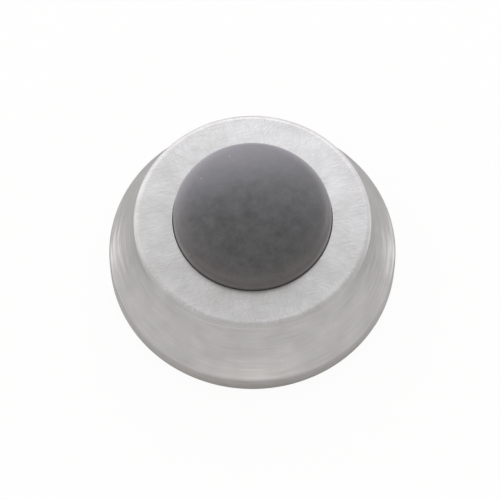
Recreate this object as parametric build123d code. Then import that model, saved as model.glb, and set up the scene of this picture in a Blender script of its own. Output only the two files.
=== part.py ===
from build123d import *
import os
from math import radians, tan

# Wall door stop in three pieces: a drawn metal cover, a moulded rubber bumper that stands out of
# the cover's window, and a pressed retainer cup that backs the rubber and takes the fixing screw.
# The stop lies on its back: the wall is the plane z = 0 and the bumper points along +Z.
# Every length is in millimetres.

# Cover: one drawn sheet, sized along its outer surface
shell_height = 20.2  # wall to the edge of the window
rim_height = 4.8  # straight band beside the wall
face_width = 8.5  # window to the corner of the face
face_rise = 0.4  # how far the crowned face climbs from its corner to the window
flank_run = 6.0  # how far the flank spreads between the face and the rim
flank_hollow = 1.3  # how far the flank's middle lies inside a straight line between its ends
shell_sheet = 1.27  # thickness of the drawn sheet
face_edge_radius = 1.5  # outer bend between face and flank
rim_bend_radius = 1.6  # outer bend between flank and rim
window_edge_radius = 0.2  # broken edge of the punched window
foot_edge_radius = 0.2  # broken edge of the trimmed rim

# Bumper: the head passes the window, the flange stays behind the face
bumper_diameter = 34.3
window_clearance = 0.1  # between the head and the window, all round
shoulder_height = 4.375  # window edge to the corner where side and dome would meet
dome_rise = 4.0  # that corner to the top of the dome
shoulder_radius = 5.0  # rounding between the side and the dome
flange_setback = 2.5  # flange edge kept inside the bend of the face
flange_thickness = 3.5  # measured at the rim of the flange
flange_edge_radius = 0.6
recess_diameter = 9.0  # pocket in the back that clears the tip of the screw
recess_depth = 4.0
recess_edge_radius = 0.8

# Retainer cup: one pressed sheet
cup_sheet = 1.5
crown_margin = 1.6  # crown corner outside the edge of the rubber flange
wall_draft = 10.0  # lean of the cup's wall, in degrees
bend_radius = 1.0  # inside radius of the crown and brim bends
brim_inset = 0.5  # brim kept off the wall so that the rim of the cover bears first
brim_clearance = 0.05  # brim inside the cover's rim, all round
thread_bore = 3.8  # tapping bore for the fixing screw
thread_length = 4.0  # straight length of the tapped collar
collar_bend = 0.3  # inside radius where the collar leaves the crown

# Sizes that follow from the ones above
window_radius = bumper_diameter / 2 + window_clearance
face_corner_radius = window_radius + face_width
face_corner_height = shell_height - face_rise
base_radius = face_corner_radius + flank_run
flange_radius = face_corner_radius - face_edge_radius - flange_setback


def pressed_sheet(line, sheet, side):
    """Section of a pressing: a line with rounded bends, thickened by the sheet to one side."""
    return make_face(line.wire().offset_2d(sheet, side=side).edges())


def turned(section):
    """Solid of one full turn of a section drawn in radius and height."""
    return revolve(Plane.XZ * section, Axis.Z)


def near(section, radius, height):
    """Corner of a section that lies closest to the given radius and height."""
    return section.vertices().sort_by_distance((radius, height, 0))[0]


def face_underside(radius):
    """Height of the inner side of the crowned face at a radius."""
    slope = face_rise / face_width
    upright = shell_sheet * (1 + slope**2) ** 0.5
    return shell_height - slope * (radius - window_radius) - upright


def make_cover():
    rim_top = (base_radius, rim_height)
    face_corner = (face_corner_radius, face_corner_height)
    rim = Line((base_radius, 0), rim_top)
    flank = SagittaArc(rim_top, face_corner, flank_hollow)
    face = Line(face_corner, (window_radius, shell_height))
    line = Wire(rim.edges() + flank.edges() + face.edges())
    line = fillet(near(line, *rim_top), rim_bend_radius)
    line = fillet(near(line, *face_corner), face_edge_radius)
    section = pressed_sheet(line, shell_sheet, Side.LEFT)
    section = fillet(near(section, window_radius, shell_height), window_edge_radius)
    section = fillet(near(section, base_radius, 0), foot_edge_radius)
    return turned(section)


def make_bumper():
    head_radius = bumper_diameter / 2
    corner = (head_radius, shell_height + shoulder_height)
    top = (0, corner[1] + dome_rise)
    dome_radius = (head_radius**2 + dome_rise**2) / (2 * dome_rise)
    back = face_underside(flange_radius) - flange_thickness
    outline = Polyline(
        corner,
        (head_radius, face_underside(head_radius)),
        (flange_radius, face_underside(flange_radius)),
        (flange_radius, back),
        (recess_diameter / 2, back),
        (recess_diameter / 2, back + recess_depth),
        (0, back + recess_depth),
        top,
    )
    dome = RadiusArc(top, corner, dome_radius)
    section = make_face(outline.edges() + dome.edges())
    section = fillet(near(section, *corner), shoulder_radius)
    section = fillet(near(section, flange_radius, back), flange_edge_radius)
    section = fillet(near(section, recess_diameter / 2, back + recess_depth), recess_edge_radius)
    return turned(section)


def make_cup():
    crown = face_underside(flange_radius) - flange_thickness
    brim_top = brim_inset + cup_sheet
    crown_radius = flange_radius + crown_margin
    wall_radius = crown_radius + (crown - brim_top) * tan(radians(wall_draft))
    collar_entry = cup_sheet + collar_bend
    path = [
        (thread_bore / 2, crown - collar_entry - thread_length),
        (thread_bore / 2, crown),
        (crown_radius, crown),
        (wall_radius, brim_top),
        (base_radius - shell_sheet - brim_clearance, brim_top),
    ]
    bends = [collar_entry, cup_sheet + bend_radius, bend_radius]
    return turned(pressed_sheet(FilletPolyline(*path, radius=bends), cup_sheet, Side.RIGHT))


os.makedirs("parts", exist_ok=True)
export_step(make_cover(), "parts/cover.step")
export_step(make_bumper(), "parts/rubber_bumper.step")
export_step(make_cup(), "parts/retainer_cup.step")
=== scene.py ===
import math

import bpy
import numpy as np
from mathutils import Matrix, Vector


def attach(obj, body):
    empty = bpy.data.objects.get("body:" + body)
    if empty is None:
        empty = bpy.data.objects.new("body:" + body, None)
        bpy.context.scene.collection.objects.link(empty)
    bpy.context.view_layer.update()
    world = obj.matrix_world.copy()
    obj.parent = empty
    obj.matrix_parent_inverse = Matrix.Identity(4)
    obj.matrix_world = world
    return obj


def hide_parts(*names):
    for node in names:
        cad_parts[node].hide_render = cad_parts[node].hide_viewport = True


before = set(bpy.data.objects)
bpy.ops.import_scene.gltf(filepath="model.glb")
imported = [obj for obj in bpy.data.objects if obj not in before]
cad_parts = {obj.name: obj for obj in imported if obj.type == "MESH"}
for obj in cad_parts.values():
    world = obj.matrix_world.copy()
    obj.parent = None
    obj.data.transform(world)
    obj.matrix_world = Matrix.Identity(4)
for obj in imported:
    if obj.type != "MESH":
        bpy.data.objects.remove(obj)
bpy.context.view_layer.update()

bl_info = {
    "name": "Wall Door Stop",
    "version": (1, 0, 0),
    "blender": (4, 5, 0),
    "location": "3D View > Sidebar > Door Stop",
    "description": "Builds a wall door stop with a satin steel cover and a convex rubber bumper",
    "category": "Add Mesh",
}

MM = 0.001

# How finely the pieces are divided about their axis, the rubber along its two arcs, and the thread
# along one turn
COVER_SEGMENTS = 384
BUMPER_SEGMENTS = 256
CUP_SEGMENTS = 192
SHOULDER_ROWS = 25
DOME_ROWS = 40
THREAD_ROWS = 14

# Shares of the pitch that the mouth of the thread's groove and its two straight sides take
THREAD_MOUTH = 0.75
THREAD_SIDES = 0.62

# Heights from the edge of the window, in millimetres, where a finish begins and where it is full:
# # crossed scratches on the face, the dull bend from below and from above, wax bloom and painted
# light
# # on the rubber's side
FACE_HEIGHTS = (-1.0, -0.35)
BEND_BELOW = (-1.6, -0.9)
BEND_ABOVE = (-0.25, -0.48)
BLOOM_AND_PAINTED_LIGHT_HEIGHTS = (6.8, 1.8)

# Painted light on the rubber: the direction towards its paler side, where the light falls, and how
# far out along it, in millimetres, the painted light is full
PAINTED_LIGHT_WAY = (-0.35, 0.94, 0.0)
PAINTED_LIGHT_REACH = 17.0

# The floor's half side and its place under the stop, and how near to plain white the camera sees it
FLOOR_HALF = 1.5
FLOOR_DROP = 0.02 * MM
FLOOR_WHITE = 0.93

# The floor as the metal mirrors it, with painted shade and painted light. It is bare paper close to
# # the stop, then glows: a painted dark round that reaches past the stop, white further out, and
# # painted light, whiter still, on a card at each side.
BARE_MIDDLE = (0.0, -6.0 * MM, 0.0)
BARE_EDGE = (25.0 * MM, 34.0 * MM)
GLOW_SHARE = 0.8
DARK_MIDDLE = (0.0, 14.0 * MM, 0.0)
DARK_EDGE = (41.0 * MM, 50.0 * MM)
DARK_LEVEL = 0.66
CARD_EDGE = (41.0 * MM, 52.0 * MM)
CARD_ASIDE = (22.0 * MM, 44.0 * MM)
CARD_BEHIND = (-4.0 * MM, 14.0 * MM)
CARD_LEVEL = 1.1

# Light of the room, of the wall behind the stop, and of soft round lights at an azimuth and an
# elevation in degrees. White paper under the room's light alone is nearly white. The wall begins
# and is full at two cosines of the angle to the way it lies.
ROOM_LIGHT = (0.90, 0.90, 0.90)
WALL_LIGHT = (0.40, 0.44, 0.48)
WALL_WAY = (0.06, 1.0, 0.0)
WALL_EDGE = (0.30, 0.54)
LIGHT_FOCUS = 14.0
SOFT_LIGHTS = (
    (110.0, 15.0, (1.15, 1.12, 1.22)),
    (140.0, 15.0, (0.95, 0.92, 1.03)),
    (50.0, 15.0, (0.60, 0.52, 0.63)),
    (80.0, 30.0, (1.18, 1.13, 1.14)),
    (170.0, 30.0, (0.82, 0.81, 0.83)),
    (58.0, 43.0, (0.24, 0.26, 0.33)),
    (270.0, 6.0, (0.40, 0.38, 0.35)),
)


# Values that a user would change

def length(name, description, millimetres):
    """Property for one length, written in millimetres and kept in metres."""
    return bpy.props.FloatProperty(
        name=name, description=description, default=millimetres * MM, min=0.0,
        precision=5, subtype="DISTANCE", unit="LENGTH")


def to_linear(code):
    """Scene-linear colour of an sRGB hex code: the sRGB curve undone, channel by channel."""
    channels = np.array([int(code[i:i + 2], 16) for i in (1, 3, 5)]) / 255.0
    linear = np.where(channels <= 0.04045, channels / 12.92, ((channels + 0.055) / 1.055) ** 2.4)
    return (*linear.tolist(), 1.0)


def colour(name, description, code):
    """Property for one surface colour, written as an sRGB hex code."""
    return bpy.props.FloatVectorProperty(
        name=name, description=description, default=to_linear(code), size=4,
        min=0.0, max=1.0, subtype="COLOR")


class CoverSizes(bpy.types.PropertyGroup):
    """Sizes of the drawn cover, along its outer surface."""

    shell_height: length("Shell height", "Wall to the edge of the window", 20.2)
    rim_height: length("Rim height", "Straight band beside the wall", 4.8)
    face_width: length("Face width", "Window to the corner of the face", 8.5)
    face_rise: length("Face rise", "Climb of the crowned face from its corner to the window", 0.4)
    flank_run: length("Flank run", "Spread of the flank between the face and the rim", 6.0)
    flank_hollow: length("Flank hollow", "Depth of the flank's middle inside a straight line", 1.3)
    sheet: length("Sheet", "Thickness of the drawn sheet", 1.27)
    face_edge_radius: length("Face edge radius", "Outer bend between face and flank", 1.5)
    rim_bend_radius: length("Rim bend radius", "Outer bend between flank and rim", 1.6)
    window_edge_radius: length("Window edge radius", "Broken edge of the punched window", 0.2)
    foot_edge_radius: length("Foot edge radius", "Broken edge of the trimmed rim", 0.2)
    burr_radius: length("Burr radius", "Rounding of the hidden cut edges", 0.1)


class BumperSizes(bpy.types.PropertyGroup):
    """Sizes of the rubber bumper."""

    diameter: length("Diameter", "Head of the bumper", 34.3)
    window_clearance: length("Window clearance", "Between head and window, all round", 0.1)
    shoulder_height: length(
        "Shoulder height", "Window edge to the corner where side and dome would meet", 4.375)
    dome_rise: length("Dome rise", "That corner to the top of the dome", 4.0)
    shoulder_radius: length("Shoulder radius", "Rounding between the side and the dome", 5.0)
    flange_setback: length("Flange setback", "Flange edge inside the bend of the face", 2.5)
    flange_thickness: length("Flange thickness", "Thickness at the rim of the flange", 3.5)
    flange_edge_radius: length("Flange edge radius", "Rounding of the flange", 0.6)
    recess_diameter: length("Recess diameter", "Pocket that clears the tip of the screw", 9.0)
    recess_depth: length("Recess depth", "Depth of that pocket", 4.0)
    recess_edge_radius: length("Recess edge radius", "Rounding at the end of the pocket", 0.8)


class RetainerSizes(bpy.types.PropertyGroup):
    """Sizes of the pressed retainer cup."""

    sheet: length("Sheet", "Thickness of the pressed sheet", 1.5)
    crown_margin: length("Crown margin", "Crown corner outside the rubber flange", 1.6)
    wall_draft: bpy.props.FloatProperty(
        name="Wall draft", description="Lean of the cup's wall", default=math.radians(10.0),
        subtype="ANGLE", unit="ROTATION")
    bend_radius: length("Bend radius", "Inside radius of the crown and brim bends", 1.0)
    brim_inset: length("Brim inset", "Brim off the wall", 0.5)
    brim_clearance: length("Brim clearance", "Brim inside the cover's rim, all round", 0.05)
    thread_bore: length("Thread bore", "Tapping bore for the fixing screw", 3.8)
    thread_length: length("Thread length", "Straight length of the tapped collar", 4.0)
    thread_pitch: length("Thread pitch", "Advance of the thread in one turn", 1.058)
    thread_depth: length("Thread depth", "Depth of the thread's groove", 0.46)
    collar_bend: length("Collar bend", "Inside radius where the collar leaves the crown", 0.3)
    burr_radius: length("Burr radius", "Rounding of the cut edges", 0.12)


class Finishes(bpy.types.PropertyGroup):
    """Colours of the surfaces."""

    steel_groove: colour("Steel groove", "Satin stainless steel down in its scratches", "#A9A7A5")
    steel_ridge: colour("Steel ridge", "Satin stainless steel between its scratches", "#C1BFBE")
    rubber_dark: colour("Rubber dark", "Grey moulded rubber", "#222020")
    rubber_light: colour("Rubber light", "Paler clouds in the rubber", "#403E3F")
    # Partly wax bloom and partly painted light, which lifts the shade on the rubber's side
    rubber_bloom_and_painted_light: colour(
        "Rubber bloom", "Wax that has come to the surface of the rubber's side", "#54504C")
    # Painted light: the paler colour of the rubber's +Y side, where the light falls
    rubber_painted_light: colour("Rubber haze", "Fine dust on the side of the rubber that was up", "#77747B")
    rubber_sheen: colour("Rubber sheen", "Thin haze that shows at a slant", "#EDEAF4")
    dust: colour("Dust", "Specks on the rubber", "#8A8783")
    zinc_dull: colour("Zinc dull", "Zinc plate on the retainer cup, dull grains", "#A3A8AE")
    zinc_bright: colour("Zinc bright", "Zinc plate on the retainer cup, bright grains", "#C3C8CC")
    floor: colour("Floor", "Plain studio floor", "#DFDCD9")


class StageSettings(bpy.types.PropertyGroup):
    """Camera and light."""

    elevation: bpy.props.FloatProperty(
        name="Elevation", description="Camera above the floor", default=math.radians(64.6),
        subtype="ANGLE", unit="ROTATION")
    distance: length("Distance", "Camera to the middle of the stop", 600.0)
    lens: bpy.props.FloatProperty(
        name="Lens", description="Focal length on a 36 mm sensor", default=195.8, min=1.0,
        subtype="DISTANCE_CAMERA")
    aim_height: length("Aim height", "Height of the point that the view is framed on", 8.0)
    aim_right: bpy.props.FloatProperty(
        name="Aim right", description="How far right of the frame's middle that point lies",
        default=0.53 * MM, subtype="DISTANCE", unit="LENGTH", precision=5)
    aim_up: bpy.props.FloatProperty(
        name="Aim up", description="How far above the frame's middle that point lies",
        default=1.70 * MM, subtype="DISTANCE", unit="LENGTH", precision=5)


# Profiles in radius and height

def parallel_line(path, distance):
    """Corners of the line at a distance to the left of a path: where its shifted runs cross."""
    runs = np.diff(path, axis=0)
    ways = runs / np.linalg.norm(runs, axis=1)[:, None]
    left = np.column_stack((-ways[:, 1], ways[:, 0]))
    share = 1.0 + np.sum(left[:-1] * left[1:], axis=1)
    inner = path[1:-1] + distance * (left[:-1] + left[1:]) / share[:, None]
    return np.vstack((path[0] + distance * left[0], inner, path[-1] + distance * left[-1]))


def even_run(start, end, step, guard):
    """Points of a straight run between two arcs: even steps, with a guard row close to each end."""
    reach = np.linalg.norm(end - start)
    if reach < 3.0 * guard:
        return np.vstack((start, end))
    count = max(2, math.ceil((reach - 2.0 * guard) / step) + 1)
    along = np.concatenate(([0.0], np.linspace(guard, reach - guard, count), [reach]))
    return start + (end - start) * (along / reach)[:, None]


def rounded_line(corners, radii, step=0.9 * MM, guard=0.04 * MM, turn_step=math.radians(5.0)):
    """Line through corners in which each inner corner gives way to the arc of its radius that
    touches both of its runs, sampled by even turns, with even runs between the arcs."""
    corners = np.asarray(corners, float)
    runs = np.diff(corners, axis=0)
    ways = runs / np.linalg.norm(runs, axis=1)[:, None]
    rows = []
    start = corners[0]
    for before, after, corner, radius in zip(ways[:-1], ways[1:], corners[1:-1], radii):
        turn = math.atan2(before[0] * after[1] - before[1] * after[0], float(before @ after))
        reach = radius * math.tan(abs(turn) / 2.0)
        arc_start = corner - before * reach
        spoke = radius * math.copysign(1.0, turn) * np.array((before[1], -before[0]))
        turns = np.linspace(0.0, turn, max(2, math.ceil(abs(turn) / turn_step) + 1))
        arc = arc_start - spoke + np.column_stack((
            spoke[0] * np.cos(turns) - spoke[1] * np.sin(turns),
            spoke[0] * np.sin(turns) + spoke[1] * np.cos(turns)))
        rows.append(even_run(start, arc_start, step, guard)[:-1])
        rows.append(arc[:-1] if radius > 0.0 else arc[:0])
        start = arc[-1]
    rows.append(even_run(start, corners[-1], step, guard))
    return np.vstack(rows)


def sheet_outline(path, bends, sheet, burr):
    """Closed outline of a pressing: its path, and the line parallel to it on its left at the
    thickness of the sheet. Bends to the left lose the thickness inside, others gain it. The four
    corners of the cut ends have the burr's radius."""
    path = np.asarray(path, float)
    inner = parallel_line(path, sheet)
    runs = np.diff(path, axis=0)
    turns = runs[:-1, 0] * runs[1:, 1] - runs[:-1, 1] * runs[1:, 0]
    inner_bends = np.asarray(bends) - np.sign(turns) * sheet
    middle = (inner[0] + inner[1]) / 2.0
    corners = np.vstack((middle, inner[:1], path, inner[:0:-1], middle))
    radii = [burr, burr, *bends, burr, burr, *inner_bends[::-1]]
    return rounded_line(corners, radii)[:-1]


def arc_line(centre, radius, start, end, turn_step=math.radians(2.5)):
    """Points of an arc: its centre plus the radius at even turns from one direction to another,
    the short way round."""
    first = math.atan2(start[1], start[0])
    turn = (math.atan2(end[1], end[0]) - first + math.pi) % (2.0 * math.pi) - math.pi
    turns = first + np.linspace(0.0, turn, math.ceil(abs(turn) / turn_step) + 1)
    return centre + radius * np.column_stack((np.cos(turns), np.sin(turns)))


def cover_outline(cover, fits):
    """Closed outline of the drawn cover. The hollow flank is the arc through the top of the rim and
    the corner of the face. The bend at each end of it touches the flank's arc from outside and the
    rim or the face from within. The inner side has the same centres, with the sheet taken off the
    two bends and added to the hollow."""
    rim_top = np.array((fits.base_radius, cover.rim_height))
    corner = np.array((fits.face_corner_radius, cover.shell_height - cover.face_rise))
    mouth = np.array((fits.window_radius, cover.shell_height))
    chord = corner - rim_top
    span = np.linalg.norm(chord)
    outward = np.array((chord[1], -chord[0])) / span
    hollow = cover.flank_hollow
    flank = (span ** 2 / 4.0 + hollow ** 2) / (2.0 * hollow)
    middle = (rim_top + corner) / 2.0 + outward * (flank - hollow)
    rim_bend, face_bend = cover.rim_bend_radius, cover.face_edge_radius
    low_radius = fits.base_radius - rim_bend
    across = middle[0] - low_radius
    low = np.array((low_radius, middle[1] - math.sqrt((flank + rim_bend) ** 2 - across ** 2)))
    along = (mouth - corner) / np.linalg.norm(mouth - corner)
    up = np.array((along[1], -along[0]))
    gap = corner - up * face_bend - middle
    shift = math.sqrt((gap @ along) ** 2 - gap @ gap + (flank + face_bend) ** 2) - gap @ along
    high = corner - up * face_bend + along * shift
    sides = []
    for take in (0.0, cover.sheet):
        sides.append(np.vstack((
            arc_line(low, rim_bend - take, (1.0, 0.0), middle - low),
            arc_line(middle, flank + take, low - middle, high - middle)[1:-1],
            arc_line(high, face_bend - take, middle - high, up))))
    outer, inner = sides
    foot = [inner[0], (inner[0, 0], 0.0), (outer[0, 0], 0.0), outer[0]]
    window = [outer[-1], mouth, mouth - up * cover.sheet, inner[-1]]
    foot_line = rounded_line(foot, [cover.burr_radius, cover.foot_edge_radius])
    window_line = rounded_line(window, [cover.window_edge_radius, cover.burr_radius])
    return np.vstack((foot_line[:-1], outer[:-1], window_line[:-1], inner[:0:-1]))


def face_underside(cover, window_radius, radius):
    """Height of the inner side of the crowned face: its slope carried down by the sheet."""
    slope = cover.face_rise / cover.face_width
    upright = cover.sheet * math.hypot(1.0, slope)
    return cover.shell_height - slope * (radius - window_radius) - upright


class Fits:
    """Sizes that two pieces share, worked out from the pieces' own sizes."""

    def __init__(self, scene):
        cover = scene.stop_cover
        bumper = scene.stop_bumper
        self.window_radius = bumper.diameter / 2.0 + bumper.window_clearance
        self.face_corner_radius = self.window_radius + cover.face_width
        self.base_radius = self.face_corner_radius + cover.flank_run
        self.flange_radius = (
            self.face_corner_radius - cover.face_edge_radius - bumper.flange_setback)
        self.flange_top = face_underside(cover, self.window_radius, self.flange_radius)
        self.back = self.flange_top - bumper.flange_thickness


def tapped_line(line, bore, pitch, depth, segments):
    """Closed line with its straight bore split into fine rows, and the right-hand thread groove to
    add to the radius: a wave of the height over the pitch less the angle over a full turn, with
    straight sides and flat crests and roots, that fades out over the last half turn at each end."""
    on_bore = np.flatnonzero(np.isclose(line[:, 0], bore, atol=1e-9))
    first, last = line[on_bore[0]], line[on_bore[-1]]
    count = math.ceil(abs(last[1] - first[1]) / (pitch / THREAD_ROWS))
    fine = np.linspace(first, last, count)
    line = np.vstack((line[:on_bore[0]], fine, line[on_bore[-1] + 1:]))
    rows = np.zeros((len(line), 1))
    rows[on_bore[0]:on_bore[0] + count, 0] = 1.0
    angles = np.linspace(0.0, 1.0, segments, endpoint=False)
    wave = np.abs((line[:, 1:] / pitch - angles) % 1.0 - 0.5) * 2.0
    groove = np.clip((THREAD_MOUTH - wave) / THREAD_SIDES, 0.0, 1.0)
    reach = np.minimum(np.abs(line[:, 1:] - first[1]), np.abs(line[:, 1:] - last[1]))
    fade = np.clip(reach / (0.5 * pitch), 0.0, 1.0)
    return line, rows * depth * groove * fade


# Meshes

def turned_mesh(name, line, segments, closed, ripple=0.0):
    """Surface of revolution: point (r, z) of the line at angle a lies at (r cos a, r sin a, z),
    with r grown by the ripple. A line that isn't closed begins and ends on the axis."""
    angles = np.linspace(0.0, 2.0 * math.pi, segments, endpoint=False)
    rings = line if closed else line[1:-1]
    radius = rings[:, :1] + ripple
    grid = np.stack((radius * np.cos(angles), radius * np.sin(angles),
                     np.broadcast_to(rings[:, 1:], (len(rings), segments))), axis=-1)
    points = grid.reshape(-1, 3)
    number = np.arange(len(points)).reshape(len(rings), segments)
    turned = np.roll(number, -1, axis=1)
    if closed:
        above, turned_above = np.roll(number, -1, axis=0), np.roll(turned, -1, axis=0)
        faces = np.stack((number, turned, turned_above, above), -1).reshape(-1, 4).tolist()
    else:
        faces = np.stack((number[:-1], turned[:-1], turned[1:], number[1:]), -1)
        faces = faces.reshape(-1, 4).tolist()
        poles = np.array([(0.0, 0.0, line[0, 1]), (0.0, 0.0, line[-1, 1])])
        low, high = len(points), len(points) + 1
        faces += np.column_stack((np.full(segments, low), turned[0], number[0])).tolist()
        faces += np.column_stack((number[-1], turned[-1], np.full(segments, high))).tolist()
        points = np.vstack((points, poles))
    mesh = bpy.data.meshes.new(name)
    mesh.from_pydata(points, [], faces)
    mesh.polygons.foreach_set("use_smooth", np.ones(len(faces), dtype=bool))
    mesh.update()
    return mesh


def add_piece(mesh, material, node):
    """Put a mesh into the scene with its material, in place of a solid of the frame."""
    mesh.materials.append(material)
    piece = bpy.data.objects.new(mesh.name, mesh)
    bpy.context.scene.collection.objects.link(piece)
    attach(piece, "root")
    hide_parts(node)


# Materials

def add_node(tree, kind, inputs=None, **settings):
    """Add one node with its own settings. An input goes by its name, or by its number where names
    repeat, and is a value or another node's output to link."""
    node = tree.nodes.new(kind)
    for name, value in settings.items():
        setattr(node, name, value)
    for name, value in (inputs or {}).items():
        if isinstance(value, bpy.types.NodeSocket):
            tree.links.new(value, node.inputs[name])
        else:
            node.inputs[name].default_value = value
    return node


def new_material(name):
    """Empty node material and its output's surface socket."""
    material = bpy.data.materials.new(name)
    material.use_nodes = True
    tree = material.node_tree
    tree.nodes.clear()
    surface = add_node(tree, "ShaderNodeOutputMaterial").inputs["Surface"]
    return material, tree, surface


def round_coordinates(tree):
    """Place on a turned piece, in millimetres: the point, its spoke (a unit vector away from the
    axis), its radius and its height."""
    place = add_node(tree, "ShaderNodeTexCoord").outputs["Object"]
    point = add_node(tree, "ShaderNodeVectorMath", {
        0: place, "Scale": 1.0 / MM}, operation="SCALE").outputs[0]
    flat = add_node(tree, "ShaderNodeVectorMath", {
        0: point, 1: (1.0, 1.0, 0.0)}, operation="MULTIPLY").outputs[0]
    spoke = add_node(tree, "ShaderNodeVectorMath", {0: flat}, operation="NORMALIZE").outputs[0]
    radius = add_node(tree, "ShaderNodeVectorMath", {0: flat}, operation="LENGTH").outputs["Value"]
    height = add_node(tree, "ShaderNodeSeparateXYZ", {0: point}).outputs["Z"]
    return point, spoke, radius, height


def streaks(tree, spoke, depth, pitch, cells, detail, warp):
    """Noise in streaks that run round the axis or out from it. It is read at the spoke times the
    number of cells in a radian, raised by the depth over the pitch, both in millimetres."""
    level = add_node(tree, "ShaderNodeMath", {
        0: depth, 1: 1.0 / pitch}, operation="MULTIPLY").outputs[0]
    lift = add_node(tree, "ShaderNodeCombineXYZ", {"Z": level}).outputs[0]
    vector = add_node(tree, "ShaderNodeVectorMath", {
        0: spoke, 1: (cells, cells, cells), 2: lift}, operation="MULTIPLY_ADD").outputs[0]
    return add_node(tree, "ShaderNodeTexNoise", {
        "Vector": vector, "Scale": 1.0, "Detail": detail, "Roughness": 0.6,
        "Distortion": warp}).outputs["Fac"]


def satin_steel(finishes, window):
    """Stainless steel, drawn and satin finished with an abrasive pad.

    The flank was turned against the pad, which leaves fine lines that run round it, over slight
    waves. The face was rubbed by hand, which leaves short crossed scratches, and then straight
    across. All this breaks the gloss into a soft, even sheen with a faint grain. The height of the
    window's edge, in millimetres, tells the face, the bend and the flank apart."""
    material, tree, surface = new_material("satin_brushed_stainless_steel")
    point, spoke, radius, height = round_coordinates(tree)
    # Turned lines are about 0.02 mm wide. They are drawn 0.45 mm wide, or they would not show.
    drop = add_node(tree, "ShaderNodeMath", {0: height, 1: radius}, operation="SUBTRACT").outputs[0]
    lines = streaks(tree, spoke, drop, pitch=0.45, cells=3.5, detail=2.0, warp=0.1)
    turned = add_node(tree, "ShaderNodeMath", {
        0: lines, 1: 0.5, 2: 0.22}, operation="MULTIPLY_ADD").outputs[0]
    # Rubbed scratches, as fine, are drawn 0.2 mm wide and 2.4 mm long, in two sets that lean apart.
    rubbed = []
    for lean, start in ((0.022, 0.0), (-0.014, 50.0)):
        turn = add_node(tree, "ShaderNodeMath", {
            0: radius, 1: lean}, operation="MULTIPLY").outputs[0]
        leant = add_node(tree, "ShaderNodeVectorRotate", {
            "Vector": spoke, "Angle": turn}, rotation_type="Z_AXIS").outputs[0]
        shifted = add_node(tree, "ShaderNodeMath", {
            0: radius, 1: start}, operation="ADD").outputs[0]
        rubbed.append(streaks(tree, leant, shifted, pitch=2.4, cells=95.0, detail=2.0, warp=0.25))
    least = add_node(tree, "ShaderNodeMath", {
        0: rubbed[0], 1: rubbed[1]}, operation="MINIMUM").outputs[0]
    # A last pass ran straight across the face. Its scratches are drawn 0.3 mm wide and 5 mm long.
    stroke = add_node(tree, "ShaderNodeVectorRotate", {
        "Vector": point, "Angle": math.radians(-14.0)}, rotation_type="Z_AXIS").outputs[0]
    drawn = add_node(tree, "ShaderNodeVectorMath", {
        0: stroke, 1: (1.0 / 5.0, 1.0 / 0.3, 0.0)}, operation="MULTIPLY").outputs[0]
    straight = add_node(tree, "ShaderNodeTexNoise", {
        "Vector": drawn, "Scale": 1.0, "Detail": 2.0, "Roughness": 0.6,
        "Distortion": 0.25}).outputs["Fac"]
    last = add_node(tree, "ShaderNodeMath", {
        0: least, 1: straight}, operation="MINIMUM").outputs[0]
    crossed = add_node(tree, "ShaderNodeMath", {
        0: last, 1: 1.6, 2: -0.25}, operation="MULTIPLY_ADD").outputs[0]
    on_face = add_node(tree, "ShaderNodeMapRange", {
        "Value": height, "From Min": window + FACE_HEIGHTS[0],
        "From Max": window + FACE_HEIGHTS[1]}, interpolation_type="SMOOTHSTEP").outputs[0]
    grain = add_node(tree, "ShaderNodeMix", {0: on_face, 2: turned, 3: crossed}).outputs[0]
    # Uneven pressure of the pad leaves soft patches about 5 mm wide.
    patches = add_node(tree, "ShaderNodeTexNoise", {
        "Vector": point, "Scale": 1.0 / 5.0, "Detail": 1.0}).outputs["Fac"]
    mixed = add_node(tree, "ShaderNodeMath", {
        0: patches, 1: 0.5, 2: grain}, operation="MULTIPLY_ADD").outputs[0]
    tone = add_node(tree, "ShaderNodeMapRange", {
        "Value": mixed, "From Min": 0.44, "From Max": 1.0}).outputs[0]
    tint = add_node(tree, "ShaderNodeMix", {
        0: tone, 6: finishes.steel_groove, 7: finishes.steel_ridge}, data_type="RGBA").outputs[2]
    satin = add_node(tree, "ShaderNodeMapRange", {
        "Value": tone, "To Min": 0.31, "To Max": 0.26}).outputs[0]
    # The bend was rubbed from both sides, which leaves it duller than the face and the flank.
    below = add_node(tree, "ShaderNodeMapRange", {
        "Value": height, "From Min": window + BEND_BELOW[0],
        "From Max": window + BEND_BELOW[1]}, interpolation_type="SMOOTHSTEP").outputs[0]
    above = add_node(tree, "ShaderNodeMapRange", {
        "Value": height, "From Min": window + BEND_ABOVE[0],
        "From Max": window + BEND_ABOVE[1]}, interpolation_type="SMOOTHSTEP").outputs[0]
    bend = add_node(tree, "ShaderNodeMath", {0: below, 1: above}, operation="MULTIPLY").outputs[0]
    rough = add_node(tree, "ShaderNodeMix", {0: bend, 2: satin, 3: 0.55}).outputs[0]
    # The pad leaves the flank a little wavy, in rings about 2 mm wide.
    rings = streaks(tree, spoke, drop, pitch=2.2, cells=3.0, detail=1.0, warp=0.3)
    on_flank = add_node(tree, "ShaderNodeMath", {
        0: 1.0, 1: on_face}, operation="SUBTRACT").outputs[0]
    wavy = add_node(tree, "ShaderNodeBump", {
        "Height": rings, "Strength": on_flank, "Distance": 0.12 * MM}).outputs[0]
    scratch = add_node(tree, "ShaderNodeBump", {
        "Height": grain, "Strength": 0.15, "Distance": 0.02 * MM, "Normal": wavy}).outputs[0]
    shader = add_node(tree, "ShaderNodeBsdfPrincipled", {
        "Base Color": tint, "Roughness": rough, "Normal": scratch, "Metallic": 1.0})
    tree.links.new(shader.outputs["BSDF"], surface)
    return material


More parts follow.
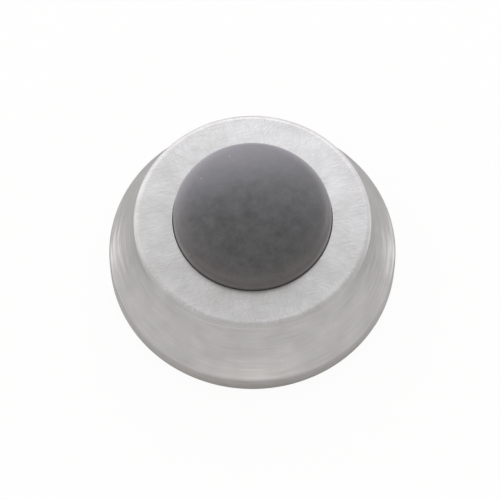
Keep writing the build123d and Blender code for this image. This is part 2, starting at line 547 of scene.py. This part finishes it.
def grey_rubber(finishes, window):
    """Natural rubber filled with grey pigment, moulded and left matt by the mould.

    It gives a soft dark grey with faint clouds and a fine grain, a paler, browner side that is
    partly wax bloom and partly painted light, a painted lighter side towards +Y where the light
    falls, and a few specks that cling to it.
    The side begins at the height of the window's edge, in millimetres."""
    material, tree, surface = new_material("moulded_grey_rubber")
    point, _, _, height = round_coordinates(tree)
    # Clouds of pigment, from 2.4 mm down to 0.15 mm wide.
    clouds = add_node(tree, "ShaderNodeTexNoise", {
        "Vector": point, "Scale": 1.0 / 2.4, "Detail": 4.0, "Roughness": 0.75}).outputs["Fac"]
    cloudy = add_node(tree, "ShaderNodeMapRange", {
        "Value": clouds, "From Min": 0.3, "From Max": 0.7}).outputs[0]
    body = add_node(tree, "ShaderNodeMix", {
        0: cloudy, 6: finishes.rubber_dark, 7: finishes.rubber_light}, data_type="RGBA").outputs[2]
    # Bloom on the side and the shoulder, broken up by the clouds. It is partly wax and partly
    # painted
    #     # light that lifts the shade beside the window.
    low = add_node(tree, "ShaderNodeMapRange", {
        "Value": height, "From Min": window + BLOOM_AND_PAINTED_LIGHT_HEIGHTS[0],
        "From Max": window + BLOOM_AND_PAINTED_LIGHT_HEIGHTS[1]}, interpolation_type="SMOOTHSTEP").outputs[0]
    broken = add_node(tree, "ShaderNodeMath", {
        0: clouds, 1: 0.8, 2: 0.4}, operation="MULTIPLY_ADD").outputs[0]
    bloom_and_painted_light = add_node(tree, "ShaderNodeMath", {
        0: low, 1: broken}, operation="MULTIPLY").outputs[0]
    side = add_node(tree, "ShaderNodeMix", {
        0: bloom_and_painted_light, 6: body, 7: finishes.rubber_bloom_and_painted_light}, data_type="RGBA").outputs[2]
    # Painted light: the rubber is made paler towards +Y and a little to the left, where the light
    # falls
    # # on its far half.
    toward_painted_light = add_node(tree, "ShaderNodeVectorMath", {
        0: point, 1: PAINTED_LIGHT_WAY}, operation="DOT_PRODUCT").outputs["Value"]
    painted_light_share = add_node(tree, "ShaderNodeMapRange", {
        "Value": toward_painted_light, "From Max": PAINTED_LIGHT_REACH, "To Max": 0.45},
        interpolation_type="SMOOTHSTEP").outputs[0]
    painted_lit = add_node(tree, "ShaderNodeMix", {
        0: painted_light_share, 6: side, 7: finishes.rubber_painted_light}, data_type="RGBA").outputs[2]
    # Dust: one speck up to 0.3 mm across in some cells of 4 mm.
    cells = add_node(tree, "ShaderNodeTexVoronoi", {
        "Vector": point, "Scale": 1.0 / 4.0}).outputs["Distance"]
    speck = add_node(tree, "ShaderNodeMapRange", {
        "Value": cells, "From Min": 0.045, "From Max": 0.03}).outputs[0]
    dusty = add_node(tree, "ShaderNodeMix", {
        0: speck, 6: painted_lit, 7: finishes.dust}, data_type="RGBA").outputs[2]
    # The mould's spark-eroded grain is about 0.05 mm. It is drawn at 0.3 mm, or it would not show.
    grain = add_node(tree, "ShaderNodeTexNoise", {
        "Vector": point, "Scale": 1.0 / 0.3, "Detail": 2.0}).outputs["Fac"]
    rough = add_node(tree, "ShaderNodeMapRange", {
        "Value": clouds, "From Min": 0.3, "From Max": 0.7,
        "To Min": 0.36, "To Max": 0.44}).outputs[0]
    skin = add_node(tree, "ShaderNodeBump", {
        "Height": grain, "Strength": 0.2, "Distance": 0.05 * MM}).outputs[0]
    shader = add_node(tree, "ShaderNodeBsdfPrincipled", {
        "Base Color": dusty, "Roughness": rough, "Normal": skin, "IOR": 1.5,
        "Specular IOR Level": 0.7, "Sheen Weight": 0.35, "Sheen Roughness": 0.4,
        "Sheen Tint": finishes.rubber_sheen})
    tree.links.new(shader.outputs["BSDF"], surface)
    return material


def zinc_plate(finishes):
    """Steel sheet, pressed and then bright zinc plated.

    It gives a cool grey metal with small grains of differing gloss, and faint draw lines that run
    round the wall where the press pulled the sheet."""
    material, tree, surface = new_material("zinc_plated_pressed_steel")
    point, spoke, radius, height = round_coordinates(tree)
    # Grains of the plate are too fine to show, so they are drawn 0.8 mm wide.
    grains = add_node(tree, "ShaderNodeTexVoronoi", {
        "Vector": point, "Scale": 1.0 / 0.8}).outputs["Color"]
    shade = add_node(tree, "ShaderNodeSeparateXYZ", {0: grains}).outputs["X"]
    # Draw lines about 0.4 mm wide.
    drop = add_node(tree, "ShaderNodeMath", {0: height, 1: radius}, operation="SUBTRACT").outputs[0]
    drawn = streaks(tree, spoke, drop, pitch=0.4, cells=2.0, detail=2.0, warp=0.0)
    tone = add_node(tree, "ShaderNodeMix", {0: 0.65, 2: shade, 3: drawn}).outputs[0]
    tint = add_node(tree, "ShaderNodeMix", {
        0: tone, 6: finishes.zinc_dull, 7: finishes.zinc_bright}, data_type="RGBA").outputs[2]
    rough = add_node(tree, "ShaderNodeMapRange", {
        "Value": tone, "To Min": 0.42, "To Max": 0.26}).outputs[0]
    marks = add_node(tree, "ShaderNodeBump", {
        "Height": drawn, "Strength": 0.2, "Distance": 0.03 * MM}).outputs[0]
    shader = add_node(tree, "ShaderNodeBsdfPrincipled", {
        "Base Color": tint, "Roughness": rough, "Normal": marks, "Metallic": 1.0})
    tree.links.new(shader.outputs["BSDF"], surface)
    return material


# Operators

class DOORSTOP_OT_cover(bpy.types.Operator):
    """Turn the drawn cover: rim, flank, bent edge and crowned face with its window"""

    bl_idname = "doorstop.add_cover"
    bl_label = "Add Cover"

    def execute(self, context):
        scene = context.scene
        cover = scene.stop_cover
        fits = Fits(scene)
        line = cover_outline(cover, fits)
        mesh = turned_mesh("satin_cover", line, COVER_SEGMENTS, closed=True)
        steel = satin_steel(scene.stop_finishes, cover.shell_height / MM)
        add_piece(mesh, steel, "cover")
        return {"FINISHED"}


class DOORSTOP_OT_bumper(bpy.types.Operator):
    """Turn the rubber bumper: recess, flange, straight side, rounded shoulder and dome"""

    bl_idname = "doorstop.add_bumper"
    bl_label = "Add Bumper"

    def execute(self, context):
        scene = context.scene
        bumper = scene.stop_bumper
        fits = Fits(scene)
        head = bumper.diameter / 2.0
        recess = bumper.recess_diameter / 2.0
        corner_height = scene.stop_cover.shell_height + bumper.shoulder_height
        dome_radius = (head ** 2 + bumper.dome_rise ** 2) / (2.0 * bumper.dome_rise)
        dome_middle = corner_height + bumper.dome_rise - dome_radius
        round_out = head - bumper.shoulder_radius
        round_up = math.sqrt((dome_radius - bumper.shoulder_radius) ** 2 - round_out ** 2)
        meet = math.atan2(round_up, round_out)
        shoulder_turns = np.linspace(0.0, meet, SHOULDER_ROWS)
        shoulder = np.column_stack((
            round_out + bumper.shoulder_radius * np.cos(shoulder_turns),
            dome_middle + round_up + bumper.shoulder_radius * np.sin(shoulder_turns)))
        dome_turns = np.linspace(meet, math.pi / 2.0, DOME_ROWS)
        dome = np.column_stack((
            dome_radius * np.cos(dome_turns), dome_middle + dome_radius * np.sin(dome_turns)))
        dome[-1, 0] = 0.0
        corners = [
            (0.0, fits.back + bumper.recess_depth),
            (recess, fits.back + bumper.recess_depth),
            (recess, fits.back),
            (fits.flange_radius, fits.back),
            (fits.flange_radius, fits.flange_top),
            (head, face_underside(scene.stop_cover, fits.window_radius, head)),
            tuple(shoulder[0]),
        ]
        edge = bumper.flange_edge_radius
        lower = rounded_line(corners, [bumper.recess_edge_radius, 0.0, edge, 0.0, 0.0])
        line = np.vstack((lower[:-1], shoulder[:-1], dome))
        mesh = turned_mesh("rubber_head", line, BUMPER_SEGMENTS, closed=False)
        rubber = grey_rubber(scene.stop_finishes, scene.stop_cover.shell_height / MM)
        add_piece(mesh, rubber, "rubber_bumper")
        return {"FINISHED"}


class DOORSTOP_OT_retainer(bpy.types.Operator):
    """Turn the pressed retainer cup and cut the thread into its collar"""

    bl_idname = "doorstop.add_retainer"
    bl_label = "Add Retainer"

    def execute(self, context):
        scene = context.scene
        cup = scene.stop_retainer
        fits = Fits(scene)
        bore = cup.thread_bore / 2.0
        brim_top = cup.brim_inset + cup.sheet
        crown_radius = fits.flange_radius + cup.crown_margin
        wall_radius = crown_radius + (fits.back - brim_top) * math.tan(cup.wall_draft)
        brim_radius = fits.base_radius - scene.stop_cover.sheet - cup.brim_clearance
        collar_entry = cup.sheet + cup.collar_bend
        collar_end = fits.back - collar_entry - cup.thread_length
        path = [
            (brim_radius, brim_top),
            (wall_radius, brim_top),
            (crown_radius, fits.back),
            (bore, fits.back),
            (bore, collar_end),
        ]
        bends = [cup.bend_radius, cup.sheet + cup.bend_radius, collar_entry]
        line = sheet_outline(path, bends, cup.sheet, cup.burr_radius)
        line, groove = tapped_line(line, bore, cup.thread_pitch, cup.thread_depth, CUP_SEGMENTS)
        mesh = turned_mesh("tapped_retainer", line, CUP_SEGMENTS, closed=True, ripple=groove)
        add_piece(mesh, zinc_plate(scene.stop_finishes), "retainer_cup")
        return {"FINISHED"}


class DOORSTOP_OT_stage(bpy.types.Operator):
    """Lay the floor, set the light and place the camera"""

    bl_idname = "doorstop.set_stage"
    bl_label = "Set Stage"

    def execute(self, context):
        scene = context.scene
        scene.view_settings.view_transform = "Standard"
        self.lay_floor(scene)
        self.set_world(scene)
        self.place_camera(scene)
        return {"FINISHED"}

    def lay_floor(self, scene):
        """Flat square floor under the stop: the four places at plus and minus half its side."""
        side = np.array([-1.0, 1.0]) * FLOOR_HALF
        across, along = np.meshgrid(side, side, indexing="ij")
        points = np.column_stack((across.ravel(), along.ravel(), np.full(4, -FLOOR_DROP)))
        mesh = bpy.data.meshes.new("floor")
        mesh.from_pydata(points, [], [(0, 2, 3, 1)])
        material, tree, surface = new_material("matt_white_floor")
        paper = add_node(tree, "ShaderNodeBsdfDiffuse", {"Color": scene.stop_finishes.floor})
        # Straight at the camera the floor is nearly plain white. Mirrored in the metal it has
        # painted shade
        #         # round the stop and is whiter further out, with painted light most of all on the
        #         cards at both
        #         # sides.
        path = add_node(tree, "ShaderNodeLightPath").outputs
        mirrored = add_node(tree, "ShaderNodeMath", {
            0: path["Is Glossy Ray"], 1: path["Is Transmission Ray"]},
            operation="MAXIMUM").outputs[0]
        place = add_node(tree, "ShaderNodeTexCoord").outputs["Object"]
        reach = add_node(tree, "ShaderNodeVectorMath", {
            0: place, 1: DARK_MIDDLE}, operation="DISTANCE").outputs["Value"]
        inner = add_node(tree, "ShaderNodeMapRange", {
            "Value": reach, "From Min": DARK_EDGE[0], "From Max": DARK_EDGE[1],
            "To Min": DARK_LEVEL}, interpolation_type="SMOOTHSTEP").outputs[0]
        outer = add_node(tree, "ShaderNodeMapRange", {
            "Value": reach, "From Min": CARD_EDGE[0], "From Max": CARD_EDGE[1],
            "To Max": CARD_LEVEL}, interpolation_type="SMOOTHSTEP").outputs[0]
        split = add_node(tree, "ShaderNodeSeparateXYZ", {0: place}).outputs
        aside = add_node(tree, "ShaderNodeMath", {0: split["X"]}, operation="ABSOLUTE").outputs[0]
        sides = add_node(tree, "ShaderNodeMapRange", {
            "Value": aside, "From Min": CARD_ASIDE[0], "From Max": CARD_ASIDE[1]},
            interpolation_type="SMOOTHSTEP").outputs[0]
        behind = add_node(tree, "ShaderNodeMapRange", {
            "Value": split["Y"], "From Min": CARD_BEHIND[0], "From Max": CARD_BEHIND[1]},
            interpolation_type="SMOOTHSTEP").outputs[0]
        wings = add_node(tree, "ShaderNodeMath", {
            0: sides, 1: behind}, operation="MULTIPLY").outputs[0]
        card = add_node(tree, "ShaderNodeMath", {
            0: outer, 1: wings, 2: inner}, operation="MULTIPLY_ADD").outputs[0]
        level = add_node(tree, "ShaderNodeMix", {0: mirrored, 2: 1.0, 3: card}).outputs[0]
        glow = add_node(tree, "ShaderNodeEmission", {
            "Color": (1.0, 1.0, 1.0, 1.0), "Strength": level})
        away = add_node(tree, "ShaderNodeVectorMath", {
            0: place, 1: BARE_MIDDLE}, operation="DISTANCE").outputs["Value"]
        clear = add_node(tree, "ShaderNodeMapRange", {
            "Value": away, "From Min": BARE_EDGE[0], "From Max": BARE_EDGE[1],
            "To Max": GLOW_SHARE}, interpolation_type="SMOOTHSTEP").outputs[0]
        weak = add_node(tree, "ShaderNodeMath", {
            0: mirrored, 1: clear}, operation="MULTIPLY").outputs[0]
        shown = add_node(tree, "ShaderNodeMath", {
            0: path["Is Camera Ray"], 1: FLOOR_WHITE, 2: weak}, operation="MULTIPLY_ADD")
        mix = add_node(tree, "ShaderNodeMixShader", {
            0: shown.outputs[0], 1: paper.outputs[0], 2: glow.outputs[0]})
        tree.links.new(mix.outputs[0], surface)
        mesh.materials.append(material)
        floor = bpy.data.objects.new("floor", mesh)
        scene.collection.objects.link(floor)

    def set_world(self, scene):
        """White light from all round, a cooler and brighter wall behind the stop, and soft round
        lights. A light's strength is multiplied by e to the power of the focus times c - 1, where c
        is the cosine of the angle to its middle. With a focus of 14 it is half at 18 degrees."""
        world = bpy.data.worlds.new("studio")
        scene.world = world
        world.use_nodes = True
        tree = world.node_tree
        tree.nodes.clear()
        way = add_node(tree, "ShaderNodeTexCoord").outputs["Generated"]
        away = add_node(tree, "ShaderNodeVectorMath", {
            0: way, 1: WALL_WAY}, operation="DOT_PRODUCT").outputs["Value"]
        wall = add_node(tree, "ShaderNodeMapRange", {
            "Value": away, "From Min": WALL_EDGE[0], "From Max": WALL_EDGE[1]},
            interpolation_type="SMOOTHSTEP").outputs[0]
        total = add_node(tree, "ShaderNodeVectorMath", {
            0: WALL_LIGHT, 1: wall, 2: ROOM_LIGHT}, operation="MULTIPLY_ADD").outputs[0]
        for azimuth, elevation, light in SOFT_LIGHTS:
            turn, rise = math.radians(azimuth), math.radians(elevation)
            level = math.cos(rise)
            middle = (level * math.cos(turn), level * math.sin(turn), math.sin(rise))
            near = add_node(tree, "ShaderNodeVectorMath", {
                0: way, 1: middle}, operation="DOT_PRODUCT").outputs["Value"]
            fall = add_node(tree, "ShaderNodeMath", {
                0: near, 1: LIGHT_FOCUS, 2: -LIGHT_FOCUS}, operation="MULTIPLY_ADD").outputs[0]
            lobe = add_node(tree, "ShaderNodeMath", {0: fall}, operation="EXPONENT").outputs[0]
            total = add_node(tree, "ShaderNodeVectorMath", {
                0: light, 1: lobe, 2: total}, operation="MULTIPLY_ADD").outputs[0]
        shine = add_node(tree, "ShaderNodeBackground", {"Color": total, "Strength": 1.0})
        add_node(tree, "ShaderNodeOutputWorld", {"Surface": shine.outputs[0]})

    def place_camera(self, scene):
        """Camera on the near side, turned down at the stop and moved in its plane to frame it."""
        stage = scene.stop_stage
        back = Vector((0.0, -math.cos(stage.elevation), math.sin(stage.elevation)))
        right = Vector((1.0, 0.0, 0.0))
        up = back.cross(right)
        lens = bpy.data.cameras.new("camera")
        lens.lens = stage.lens
        lens.sensor_width = 36.0
        lens.clip_start = 0.01
        lens.clip_end = 10.0
        camera = bpy.data.objects.new("camera", lens)
        aim = Vector((0.0, 0.0, stage.aim_height)) - right * stage.aim_right - up * stage.aim_up
        camera.location = aim + back * stage.distance
        camera.rotation_euler = back.to_track_quat("Z", "Y").to_euler()
        scene.collection.objects.link(camera)
        scene.camera = camera


class DOORSTOP_PT_sidebar(bpy.types.Panel):
    """Sizes, colours and steps of the door stop"""

    bl_idname = "DOORSTOP_PT_sidebar"
    bl_label = "Wall Door Stop"
    bl_space_type = "VIEW_3D"
    bl_region_type = "UI"
    bl_category = "Door Stop"

    def draw(self, context):
        layout = self.layout
        for step in STEPS:
            layout.operator(step.bl_idname)
        for name in GROUPS:
            box = layout.box()
            group = getattr(context.scene, name)
            for key in group.__annotations__:
                box.prop(group, key)


GROUPS = {
    "stop_cover": CoverSizes,
    "stop_bumper": BumperSizes,
    "stop_retainer": RetainerSizes,
    "stop_finishes": Finishes,
    "stop_stage": StageSettings,
}
STEPS = (DOORSTOP_OT_cover, DOORSTOP_OT_bumper, DOORSTOP_OT_retainer, DOORSTOP_OT_stage)


def register():
    """Register every class and hang the groups of values on the scene."""
    for cls in (*GROUPS.values(), *STEPS, DOORSTOP_PT_sidebar):
        bpy.utils.register_class(cls)
    for name, cls in GROUPS.items():
        setattr(bpy.types.Scene, name, bpy.props.PointerProperty(type=cls))


def unregister():
    """Take away what register added, in reverse."""
    for name in GROUPS:
        delattr(bpy.types.Scene, name)
    for cls in reversed((*GROUPS.values(), *STEPS, DOORSTOP_PT_sidebar)):
        bpy.utils.unregister_class(cls)


def main():
    register()
    bpy.ops.doorstop.add_cover()
    bpy.ops.doorstop.add_bumper()
    bpy.ops.doorstop.add_retainer()
    bpy.ops.doorstop.set_stage()


if __name__ == "__main__":
    main()
